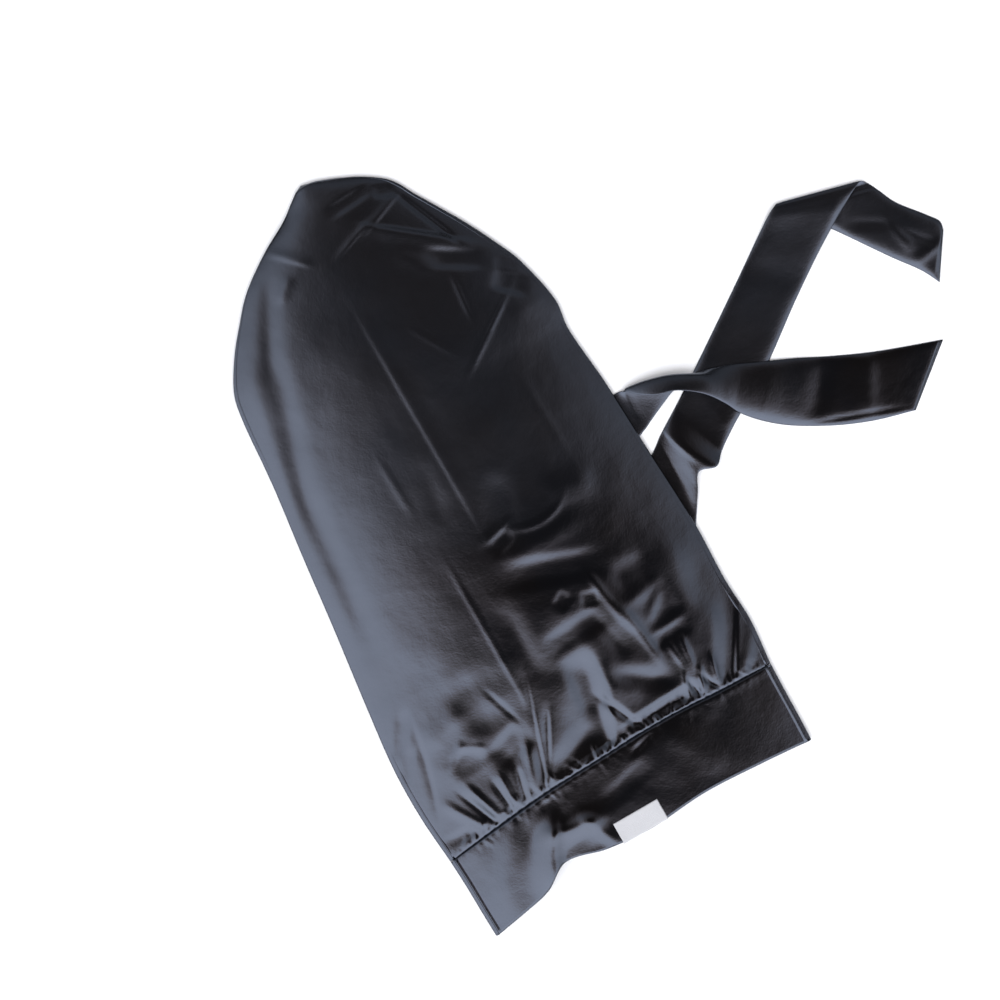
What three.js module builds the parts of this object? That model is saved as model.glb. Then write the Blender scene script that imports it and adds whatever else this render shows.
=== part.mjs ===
import * as THREE from 'three';

// Braid bonnet, lying flat: a long satin bag gathered into a wide doubled band, two long ties and a label.
// Millimetres. +Z is up and the bonnet lies on z = 0. The tables below are laid out from the middle of the
// band's seam: +X runs along the band and +Y runs from the band towards the bag's tip.

const BAG_WALL = 1.2;
const BAND_WALL = 1.8;
const TIE_WALL = 1.2;
const LABEL_WALL = 1.0;
const GAP = 0.35;

// Points round one cross-section of the bag and the band: along the top, then back along the underside.
const TOP_COLUMNS = 34;
const UNDER_COLUMNS = 12;
const EDGE_CROWDING = 0.22;

// Where the top meets the underside at the sides, and how the top swells between them.
const EDGE_HEIGHT = 3.2;
const SWELL_POWER = 3;
const SWELL_ROUNDNESS = 0.6;
const UNDER_FLAT_SHARE = 0.6;
const UNDER_CURL_POWER = 5;
const EDGE_INSET = 3.4;
const INNER_EDGE_RISE = 0.5;
const EDGE_THICKENING = 0.5;
const EDGE_THICKENING_POWER = 6;

// The bag's sides and the height of its top, from the seam to the tip.
const BAG_ROWS = [
  { y: 0, left: -149, right: 144, height: 13 },
  { y: 40, left: -152, right: 147.5, height: 18.5 },
  { y: 80, left: -151.5, right: 146, height: 21.5 },
  { y: 130, left: -146, right: 147.5, height: 22 },
  { y: 200, left: -137, right: 144.5, height: 20.5 },
  { y: 260, left: -130, right: 142, height: 18.5 },
  { y: 310, left: -123.5, right: 138, height: 17 },
  { y: 335, left: -121, right: 140.5, height: 16 },
  { y: 375, left: -117.5, right: 132, height: 14.5 },
  { y: 396, left: -113, right: 123, height: 13.6 },
  { y: 420, left: -99, right: 111, height: 13 },
  { y: 440, left: -83, right: 99.5, height: 12.4 },
  { y: 460, left: -64.5, right: 87.5, height: 11.4 },
  { y: 480, left: -36.5, right: 75.5, height: 9.8 },
  { y: 493, left: -13, right: 58, height: 8.2 },
  { y: 502, left: -1, right: 40, height: 6.6 },
  { y: 508, left: 7, right: 25, height: 5.2 },
];
const BAG_TIP = { x: 13, y: 511, z: 3 };
const TIP_INNER_START = 485;
const TIP_INNER_END = 500;

// Rows of points along the bag: close together in the gathers and at the tip, evenly spaced between.
const GATHER_ROWS = [0, 4, 9, 16, 24];
const EVEN_ROWS_START = 34;
const EVEN_ROWS_END = 462;
const EVEN_ROWS_STEP = 15;
const TIP_ROWS = [472, 481, 489, 496, 502, 506, 508];

// How far the gathered seam and the hem lie from the X axis.
const SEAM_ROWS = [
  { x: -149, y: -3.5 },
  { x: -100, y: 2.5 },
  { x: -60, y: 6.5 },
  { x: -20, y: 8.5 },
  { x: 50, y: 10.5 },
  { x: 100, y: 7.5 },
  { x: 144, y: 5.5 },
];
const SEAM_REACH = 90;
const HEM_ROWS = [
  { x: -147, y: -71 },
  { x: -120, y: -66 },
  { x: -95, y: -60 },
  { x: -72, y: -47 },
  { x: -38, y: -54 },
  { x: 0, y: -57 },
  { x: 50, y: -54 },
  { x: 100, y: -57 },
  { x: 142, y: -61 },
];

// The band's sides and height, from the seam (part 0) to the hem (part 1).
const BAND_ROWS = [
  { part: 0, left: -149, right: 144, height: 13 },
  { part: 0.3, left: -148, right: 143.3, height: 14.2 },
  { part: 0.7, left: -147.5, right: 142.7, height: 15 },
  { part: 1, left: -147, right: 142, height: 14.8 },
];
const BAND_STEPS = 7;

// Gathers: the seam's puckers swell just above the stitching and run out into the bag.
const GATHER_HEIGHT = 1.7;
const GATHER_AT_SEAM = 0.3;
const GATHER_SWELL = 7;
const GATHER_REACH = 30;

// Folds and dents of the upper side. Bearing is degrees from +X towards +Y, width is the half-width. They
// fade out at the sides and at the seam.
const BAG_FOLDS = [
  { x: -109, y: 300, bearing: 83, length: 250, width: 10, height: 2.6 },
  { x: -92, y: 315, bearing: 79, length: 210, width: 9, height: -2.6 },
  { x: -135, y: 98, bearing: 60, length: 44, width: 8, height: -3 },
  { x: -62, y: 52, bearing: 0, length: 26, width: 13, height: -4 },
  { x: -97, y: 56, bearing: 20, length: 30, width: 10, height: -2 },
  { x: -42, y: 52, bearing: 70, length: 70, width: 9, height: 2.6 },
  { x: 11, y: 52, bearing: 84, length: 66, width: 13, height: -6.5 },
  { x: 34, y: 58, bearing: 96, length: 60, width: 9, height: 2.6 },
  { x: -15, y: 60, bearing: 82, length: 50, width: 9, height: 2 },
  { x: 58, y: 36, bearing: -28, length: 60, width: 9, height: -4 },
  { x: 90, y: 90, bearing: 10, length: 34, width: 14, height: -4.5 },
  { x: 84, y: 60, bearing: 0, length: 26, width: 10, height: -3 },
  { x: 130, y: 42, bearing: 52, length: 60, width: 9, height: -3.5 },
  { x: 50, y: 150, bearing: -22, length: 84, width: 12, height: -3.5 },
  { x: 46, y: 122, bearing: -35, length: 50, width: 8, height: 2 },
  { x: 10, y: 190, bearing: 20, length: 26, width: 9, height: -2.6 },
  { x: 72, y: 202, bearing: 15, length: 50, width: 10, height: 2 },
  { x: 62, y: 447, bearing: -38, length: 84, width: 8, height: 2.2 },
  { x: 88, y: 402, bearing: -32, length: 44, width: 9, height: -3.4 },
  { x: 116, y: 366, bearing: -40, length: 30, width: 9, height: -3.4 },
  { x: 40, y: 480, bearing: 0, length: 36, width: 7, height: -1.6 },
];
const BAND_FOLDS = [
  { x: -61, y: -36, bearing: 10, length: 44, width: 15, height: 7 },
  { x: -84, y: -34, bearing: 48, length: 76, width: 9, height: -3.8 },
  { x: -106, y: -30, bearing: 42, length: 70, width: 11, height: 2 },
  { x: -36, y: -34, bearing: 100, length: 44, width: 8, height: 2 },
  { x: 22, y: -14, bearing: 24, length: 60, width: 8, height: 1.6 },
  { x: 70, y: -28, bearing: -30, length: 70, width: 12, height: 1.2 },
];

// Ties: each row is one rung of the ribbon's middle surface, from its left edge over its crown to its right
// edge, walking from the sewn end to the cut end. A rung with no crown is straight.
const TIE_UNDER_RUNGS = [
  { left: [23, -19, 0.6], right: [61, -33, 0.6] },
  { left: [48, 54, 0.6], right: [88, 36, 0.6] },
  { left: [79, 117, 0.6], right: [117, 93, 0.6] },
  { left: [124, 176, 0.6], right: [143, 121, 0.6] },
  { left: [152, 197.5, 0.6], crown: [152, 165, 0.7], right: [151, 133, 0.9] },
  { left: [164, 205.5, 0.6], crown: [163, 178, 2], right: [163, 150, 5] },
  { left: [178, 214.5, 0.6], crown: [180, 190, 1.6], right: [177, 162, 3] },
  { left: [200, 229, 0.6], right: [207, 177.5, 0.6] },
  { left: [232, 250.5, 0.6], right: [256, 207, 0.6] },
  { left: [278, 282, 0.6], right: [304, 242, 0.6] },
  { left: [303, 299.5, 1.3], right: [343, 268.5, 1.8] },
  { left: [318, 309.5, 3], right: [374, 287, 3.5] },
  { left: [324, 312.5, 3.5], right: [387, 294, 3.7] },
  { left: [327, 313.5, 2.1], right: [393, 296, 2.2] },
  { left: [330, 309, 0.6], right: [397, 292, 0.6] },
  { left: [340, 295, 0.6], right: [402, 282, 0.6] },
  { left: [356, 273.5, 0.6], right: [408, 269, 0.6] },
  { left: [384, 233, 0.6], crown: [404, 240, 1.6], right: [425, 247, 0.6] },
  { left: [400, 211, 0.6], crown: [415, 224, 1.2], right: [431, 238, 0.6] },
  { left: [407, 197, 0.6], right: [430, 231, 0.6] },
];
const TIE_OVER_RUNGS = [
  { left: [-38, -22, 0.6], right: [2, -32, 0.6] },
  { left: [-17, 67, 0.6], right: [27, 53, 0.6] },
  { left: [15, 146, 0.6], right: [55, 124, 0.6] },
  { left: [65, 212, 0.6], right: [95, 178, 0.6] },
  { left: [112, 242, 0.6], right: [128, 202, 0.6] },
  { left: [147.5, 248, 1.2], crown: [148, 232, 0.6], right: [147, 211, 0.6] },
  { left: [153, 244.5, 5], crown: [153, 243, 1.6], right: [152, 213, 0.6] },
  { left: [160, 238, 8.8], crown: [160, 245, 3.6], right: [158, 216, 0.8] },
  { left: [171, 231.5, 12], crown: [174, 243.5, 6.5], right: [170, 221.5, 1.4] },
  { left: [186, 226.5, 13.5], crown: [190, 238.5, 8.5], right: [186, 228, 2.6] },
  { left: [203.5, 213.5, 12], crown: [209, 226.5, 9.5], right: [204, 231.5, 3] },
  { left: [214, 199.5, 8.5], crown: [223, 212, 8], right: [231, 224, 3] },
  { left: [222, 185, 4.8], crown: [238, 198, 5.5], right: [251, 215, 2.8] },
  { left: [243, 164, 1.4], crown: [260, 182, 3], right: [278, 203, 1.4] },
  { left: [276, 143.5, 0.6], crown: [288, 168, 1.2], right: [303, 190.5, 0.6] },
  { left: [308, 129.5, 0.6], right: [335, 176, 0.6] },
  { left: [341, 120, 0.6], right: [387, 157, 0.6] },
];
const SIDE_FADE_POWER = 8;
const BAG_FOLD_START = 25;
const BAND_FOLD_START = 0.25;
const HIDDEN_RUNGS = 6;
const TIE_STEPS_PER_RUNG = 2;
const TIE_COLUMNS = 6;
const TIE_COVER_FULL = 36;
const TIE_COVER_END = 62;

// Label: sewn flat on the band, its lower edge on the hem.
const LABEL_LEFT = -24.5;
const LABEL_RIGHT = 14.8;
const LABEL_TOP = -39.5;
const LABEL_BOTTOM = -57;
const LABEL_COLUMNS = 6;
const LABEL_STEPS = 4;

const SATIN = { color: 0x3b3c41, roughness: 0.42, metalness: 0 };
const TAPE = { color: 0xf1efec, roughness: 0.7, metalness: 0 };

// The value of one column of a table where its key column reaches a given number, on a smooth curve.
function readRow(rows, key, column, at) {
  const last = rows.length - 1;
  const place = THREE.MathUtils.clamp(at, rows[0][key], rows[last][key]);
  const next = Math.max(1, rows.findIndex((row) => row[key] >= place));
  const slope = (i) => {
    const a = rows[Math.max(0, i - 1)];
    const b = rows[Math.min(last, i + 1)];
    return (b[column] - a[column]) / (b[key] - a[key]);
  };
  const low = rows[next - 1];
  const high = rows[next];
  const span = high[key] - low[key];
  const t = (place - low[key]) / span;
  const rise = t * t * (3 - 2 * t);
  const start = low[column] * (1 - rise) + high[column] * rise;
  return start + span * t * (1 - t) * ((1 - t) * slope(next - 1) - t * slope(next));
}

// Height added at a point by a table of ridges (positive) and dents (negative).
function foldHeight(folds, x, y) {
  let height = 0;
  for (const fold of folds) {
    const turn = THREE.MathUtils.degToRad(fold.bearing);
    const dx = x - fold.x;
    const dy = y - fold.y;
    const along = (dx * Math.cos(turn) + dy * Math.sin(turn)) / (fold.length / 2);
    const across = (dy * Math.cos(turn) - dx * Math.sin(turn)) / fold.width;
    height += fold.height * Math.exp(-(along ** 4) - across * across);
  }
  return height;
}

// Distance in plan from a point to a line through a tie's hidden rungs.
function distanceToTie(rungs, x, y) {
  const point = new THREE.Vector3(x, y, 0);
  const middles = rungs.slice(0, HIDDEN_RUNGS).map((rung) => middleOf(rung).setZ(0));
  let nearest = Infinity;
  for (let i = 1; i < middles.length; i += 1) {
    const run = new THREE.Line3(middles[i - 1], middles[i]);
    const foot = run.closestPointToPoint(point, true, new THREE.Vector3());
    nearest = Math.min(nearest, foot.distanceTo(point));
  }
  return nearest;
}

function middleOf(rung) {
  const left = new THREE.Vector3(...rung.left);
  const right = new THREE.Vector3(...rung.right);
  return rung.crown ? new THREE.Vector3(...rung.crown) : left.lerp(right, 0.5);
}

// The underside lies on the floor, and rides over the two ties where they run beneath it.
function underHeight(x, y) {
  const nearest = Math.min(distanceToTie(TIE_UNDER_RUNGS, x, y), distanceToTie(TIE_OVER_RUNGS, x, y));
  const cover = 1 - THREE.MathUtils.smoothstep(nearest, TIE_COVER_FULL, TIE_COVER_END);
  return (TIE_WALL + GAP) * cover;
}

function spread(step, count) {
  const s = (2 * step) / count - 1;
  return s * (1 + EDGE_CROWDING * (1 - s * s));
}

// One closed ring round a flattened tube. side -1 is its left edge and +1 its right edge.
function ringOf(left, right, wall, inner, topAt, underAt, yAt) {
  const reach = inner ? 1 - (2 * EDGE_INSET) / (right - left) : 1;
  const skinWall = (side) => (inner ? wall * (1 + EDGE_THICKENING * side ** EDGE_THICKENING_POWER) : 0);
  const ring = [];
  for (let i = 0; i <= TOP_COLUMNS; i += 1) {
    const side = reach * spread(i, TOP_COLUMNS);
    const x = THREE.MathUtils.lerp(left, right, (side + 1) / 2);
    const y = yAt(x);
    const roof = topAt(x, y, side, i) - skinWall(side);
    const ground = underAt(x, y, side) + (inner ? 2 * wall : 0);
    const atEdge = i === 0 || i === TOP_COLUMNS;
    const edge = EDGE_HEIGHT + (inner ? INNER_EDGE_RISE : 0);
    ring.push(new THREE.Vector3(x, y, atEdge ? edge : Math.max(roof, ground)));
  }
  for (let i = 1; i < UNDER_COLUMNS; i += 1) {
    const side = -reach * spread(i, UNDER_COLUMNS);
    const x = THREE.MathUtils.lerp(left, right, (side + 1) / 2);
    const y = yAt(x);
    ring.push(new THREE.Vector3(x, y, underAt(x, y, side) + skinWall(side)));
  }
  return ring;
}

// A closed body from a chain of rings. Without poles the chain closes on itself, and with poles each end of
// the chain runs together in one point. Each four-sided face is split along its shorter diagonal.
function skin(rings, poles) {
  const size = rings[0].length;
  const points = rings.flat();
  const faces = [];
  const joins = poles ? rings.length - 1 : rings.length;
  for (let r = 0; r < joins; r += 1) {
    const a = r * size;
    const b = ((r + 1) % rings.length) * size;
    for (let i = 0; i < size; i += 1) {
      const j = (i + 1) % size;
      const forward = points[a + i].distanceTo(points[b + j]);
      const backward = points[a + j].distanceTo(points[b + i]);
      if (forward <= backward) {
        faces.push([a + i, a + j, b + j], [a + i, b + j, b + i]);
      } else {
        faces.push([a + i, a + j, b + i], [a + j, b + j, b + i]);
      }
    }
  }
  if (poles) {
    const start = points.push(poles[0]) - 1;
    const end = points.push(poles[1]) - 1;
    const a = (rings.length - 1) * size;
    for (let i = 0; i < size; i += 1) {
      const j = (i + 1) % size;
      faces.push([start, j, i], [end, a + i, a + j]);
    }
  }
  const geometry = new THREE.BufferGeometry().setFromPoints(points);
  geometry.setIndex(outwards(points, faces).flat());
  geometry.computeVertexNormals();
  return geometry;
}

// Turns every face round if the body would otherwise be inside out.
function outwards(points, faces) {
  const volume = faces.reduce((sum, [a, b, c]) => {
    const cross = new THREE.Vector3().crossVectors(points[b], points[c]);
    return sum + points[a].dot(cross);
  }, 0);
  return volume > 0 ? faces : faces.map(([a, b, c]) => [a, c, b]);
}

function swell(height, side) {
  const round = (1 - Math.abs(side) ** SWELL_POWER) ** SWELL_ROUNDNESS;
  return EDGE_HEIGHT + (height - EDGE_HEIGHT) * round;
}

function underside(x, y, side) {
  const rest = underHeight(x, y);
  const curl = Math.max(0, Math.abs(side) - UNDER_FLAT_SHARE) / (1 - UNDER_FLAT_SHARE);
  return rest + (EDGE_HEIGHT - rest) * curl ** UNDER_CURL_POWER;
}

// Puckers alternate from one top column to the next.
function gatherAt(column, distance) {
  const rise = Math.min(1, GATHER_AT_SEAM + distance / GATHER_SWELL);
  const fade = Math.exp(-((distance / GATHER_REACH) ** 2));
  return GATHER_HEIGHT * rise * fade * (column % 2 ? 1 : -1);
}

function bagRows() {
  const even = [];
  for (let y = EVEN_ROWS_START; y < EVEN_ROWS_END; y += EVEN_ROWS_STEP) even.push(y);
  return [...GATHER_ROWS, ...even, ...TIP_ROWS];
}

function bagRing(row, inner) {
  const squeeze = (TIP_INNER_END - TIP_INNER_START) / (BAG_TIP.y - TIP_INNER_START);
  const past = Math.max(0, row - TIP_INNER_START);
  const place = inner ? row - past * (1 - squeeze) : row;
  const read = (column) => readRow(BAG_ROWS, 'y', column, place);
  const seamShare = 1 - THREE.MathUtils.smoothstep(place, 0, SEAM_REACH);
  const yAt = (x) => GAP / 2 + place + readRow(SEAM_ROWS, 'x', 'y', x) * seamShare;
  const topAt = (x, y, side, column) => {
    const calm = 1 - Math.abs(side) ** SIDE_FADE_POWER;
    const folds = foldHeight(BAG_FOLDS, x, y) * Math.min(1, place / BAG_FOLD_START);
    return swell(read('height'), side) + calm * (folds + gatherAt(column, place));
  };
  return ringOf(read('left'), read('right'), BAG_WALL, inner, topAt, underside, yAt);
}

function bag() {
  const rows = bagRows();
  const inside = rows.map((row) => bagRing(row, true)).reverse();
  const outside = rows.map((row) => bagRing(row, false));
  const innerTip = new THREE.Vector3(BAG_TIP.x, TIP_INNER_END + GAP, BAG_TIP.z);
  const outerTip = new THREE.Vector3(BAG_TIP.x, BAG_TIP.y, BAG_TIP.z);
  return skin(inside.concat(outside), [innerTip, outerTip]);
}

function bandTop(x, y, part, side) {
  const calm = 1 - Math.abs(side) ** SIDE_FADE_POWER;
  const folds = foldHeight(BAND_FOLDS, x, y) * Math.min(1, part / BAND_FOLD_START);
  return swell(readRow(BAND_ROWS, 'part', 'height', part), side) + calm * folds;
}

function bandRing(part, inner) {
  const read = (column) => readRow(BAND_ROWS, 'part', column, part);
  const yAt = (x) => {
    const seam = readRow(SEAM_ROWS, 'x', 'y', x) - GAP / 2;
    return THREE.MathUtils.lerp(seam, readRow(HEM_ROWS, 'x', 'y', x), part);
  };
  const topAt = (x, y, side) => bandTop(x, y, part, side);
  return ringOf(read('left'), read('right'), BAND_WALL, inner, topAt, underside, yAt);
}

function band() {
  const parts = Array.from({ length: BAND_STEPS + 1 }, (_, i) => i / BAND_STEPS);
  const outside = parts.map((part) => bandRing(part, false));
  const inside = parts.map((part) => bandRing(part, true)).reverse();
  return skin(outside.concat(inside));
}

// A slab of even thickness on a grid of points: its middle surface, moved half the wall each way. Each end
// is closed from the middle point of its line.
function slab(grid, wall) {
  const rings = grid.map((line, r) => {
    const before = grid[Math.max(0, r - 1)];
    const after = grid[Math.min(grid.length - 1, r + 1)];
    const offset = line.map((point, c) => {
      const across = line[Math.min(line.length - 1, c + 1)].clone().sub(line[Math.max(0, c - 1)]);
      const along = after[c].clone().sub(before[c]);
      return across.cross(along).setLength(wall / 2);
    });
    const upper = line.map((point, c) => point.clone().add(offset[c]));
    const lower = line.map((point, c) => point.clone().sub(offset[c]));
    return upper.concat(lower.reverse());
  });
  const midpoint = (line) => line[(line.length - 1) / 2].clone();
  return skin(rings, [midpoint(grid[0]), midpoint(grid[grid.length - 1])]);
}

// The ribbon is lofted on three guide curves: its left edge, its crown and its right edge.
function tie(rungs) {
  const guide = (points) => new THREE.CatmullRomCurve3(points, false, 'centripetal');
  const left = guide(rungs.map((rung) => new THREE.Vector3(...rung.left)));
  const crown = guide(rungs.map(middleOf));
  const right = guide(rungs.map((rung) => new THREE.Vector3(...rung.right)));
  const steps = (rungs.length - 1) * TIE_STEPS_PER_RUNG;
  const grid = Array.from({ length: steps + 1 }, (_, r) => {
    const [a, b, c] = [left, crown, right].map((curve) => curve.getPoint(r / steps));
    return Array.from({ length: TIE_COLUMNS + 1 }, (__, k) => {
      const v = k / TIE_COLUMNS;
      const point = a.clone().multiplyScalar((1 - v) * (1 - 2 * v));
      point.addScaledVector(b, 4 * v * (1 - v)).addScaledVector(c, v * (2 * v - 1));
      return point.setZ(Math.max(point.z, TIE_WALL / 2));
    });
  });
  return slab(grid, TIE_WALL);
}

function label() {
  const hem = BAND_ROWS[BAND_ROWS.length - 1];
  const rows = Array.from({ length: LABEL_STEPS + 1 }, (_, r) => r / LABEL_STEPS);
  const grid = rows.map((down) => {
    const y = THREE.MathUtils.lerp(LABEL_TOP, LABEL_BOTTOM, down);
    return Array.from({ length: LABEL_COLUMNS + 1 }, (_, c) => {
      const x = THREE.MathUtils.lerp(LABEL_LEFT, LABEL_RIGHT, c / LABEL_COLUMNS);
      const seam = readRow(SEAM_ROWS, 'x', 'y', x);
      const part = (seam - y) / (seam - readRow(HEM_ROWS, 'x', 'y', x));
      const side = (2 * (x - hem.left)) / (hem.right - hem.left) - 1;
      const top = bandTop(x, y, Math.min(1, part), side);
      return new THREE.Vector3(x, y, top + GAP + LABEL_WALL / 2);
    });
  });
  return slab(grid, LABEL_WALL);
}

function piece(name, geometry, finish) {
  const mesh = new THREE.Mesh(geometry, new THREE.MeshStandardMaterial(finish));
  mesh.name = name;
  return mesh;
}

const bonnet = new THREE.Group();
bonnet.add(
  piece('bag', bag(), SATIN),
  piece('band', band(), SATIN),
  piece('tie_over', tie(TIE_OVER_RUNGS), SATIN),
  piece('tie_under', tie(TIE_UNDER_RUNGS), SATIN),
  piece('label', label(), TAPE),
);

// The origin is on the floor, under the middle of the whole bonnet.
const extent = new THREE.Box3().setFromObject(bonnet);
const middle = extent.getCenter(new THREE.Vector3());
bonnet.position.set(-middle.x, -middle.y, -extent.min.z);

export default bonnet;
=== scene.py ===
"""Braid bonnet, lying flat: a satin bag gathered into a doubled band, two long ties and a small bare label.

The tables are in millimetres, laid out from the middle of the band's seam: X runs along the band and Y runs
from the band to the bag's tip. The floor is Z = 0.
"""
import math
import random
from collections import namedtuple

import bmesh
import bpy
import numpy as np
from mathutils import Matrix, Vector, noise


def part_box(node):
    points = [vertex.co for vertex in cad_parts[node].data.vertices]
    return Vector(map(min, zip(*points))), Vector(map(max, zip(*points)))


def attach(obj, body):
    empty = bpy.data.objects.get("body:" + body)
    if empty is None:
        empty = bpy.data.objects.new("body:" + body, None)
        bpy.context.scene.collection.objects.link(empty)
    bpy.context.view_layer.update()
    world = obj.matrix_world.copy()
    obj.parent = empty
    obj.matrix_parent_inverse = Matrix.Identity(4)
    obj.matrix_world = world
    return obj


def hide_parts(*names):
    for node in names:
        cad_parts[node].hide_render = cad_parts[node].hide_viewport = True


bl_info = {
    "name": "Braid Bonnet",
    "version": (1, 0, 0),
    "blender": (4, 5, 0),
    "location": "View3D > Sidebar > Bonnet",
    "description": "Sews a charcoal satin braid bonnet on its packed frame",
    "category": "Add Mesh",
}

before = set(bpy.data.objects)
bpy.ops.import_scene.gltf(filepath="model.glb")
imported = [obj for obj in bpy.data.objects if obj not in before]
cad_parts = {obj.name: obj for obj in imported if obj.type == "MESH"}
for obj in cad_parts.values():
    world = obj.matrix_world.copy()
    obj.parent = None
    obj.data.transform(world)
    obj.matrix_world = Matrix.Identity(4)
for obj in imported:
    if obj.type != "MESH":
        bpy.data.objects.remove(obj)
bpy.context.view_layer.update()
MM = 0.001

# The bag's sides and the height of its upper side, from the seam to the tip.
BAG_ROWS = {
    "y": (0, 40, 80, 130, 200, 260, 310, 335, 375, 396, 420, 440, 460, 480, 493, 502, 508),
    "left": (-149, -152, -151.5, -146, -137, -130, -123.5, -121, -117.5, -113, -99, -83, -64.5, -36.5,
             -13, -1, 7),
    "right": (144, 147.5, 146, 147.5, 144.5, 142, 138, 140.5, 132, 123, 111, 99.5, 87.5, 75.5, 58, 40, 25),
    "height": (15, 17, 19.2, 21, 22, 21.2, 20, 19.4, 18, 17, 15.6, 14.2, 12.4, 10.2, 8.4, 6.7, 5.2),
}
BAG_TIP = (13, 511, 3)
INNER_TIP_Y = 497

# How far the gathered seam and the hem lie from the X axis.
SEAM_ROWS = {"x": (-149, -100, -60, -20, 50, 100, 144), "y": (-3.5, 2.5, 6.5, 8.5, 10.5, 7.5, 5.5)}
SEAM_REACH = 90
HEM_ROWS = {
    "x": (-147, -120, -95, -72, -38, 0, 50, 100, 142),
    "y": (-71, -66, -60, -47, -54, -57, -54, -57, -61),
}

# The band's sides and height, from the seam (part 0) to the hem (part 1).
BAND_ROWS = {
    "part": (0, 0.3, 0.7, 1),
    "left": (-149, -148, -147.5, -147),
    "right": (144, 143.3, 142.7, 142),
    "height": (14.4, 14.8, 15, 14.8),
}

band_low, band_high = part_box("band")
ORIGIN = np.array([
    band_low.x - MM * BAND_ROWS["left"][0],
    band_low.y - MM * HEM_ROWS["y"][0],
    0.0,
])

# Where the upper side meets the underside, and how the upper side swells between the sides.
EDGE_HEIGHT = 3.2
SWELL_POWER = 2.2
SWELL_ROUNDNESS = 0.95
SIDE_FADE_POWER = 8
UNDER_FLAT_SHARE = 0.6
UNDER_CURL_POWER = 5
TIE_RISE = 1.55
TIE_COVER = (36, 62)
SEAM_GAP = 0.35

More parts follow.
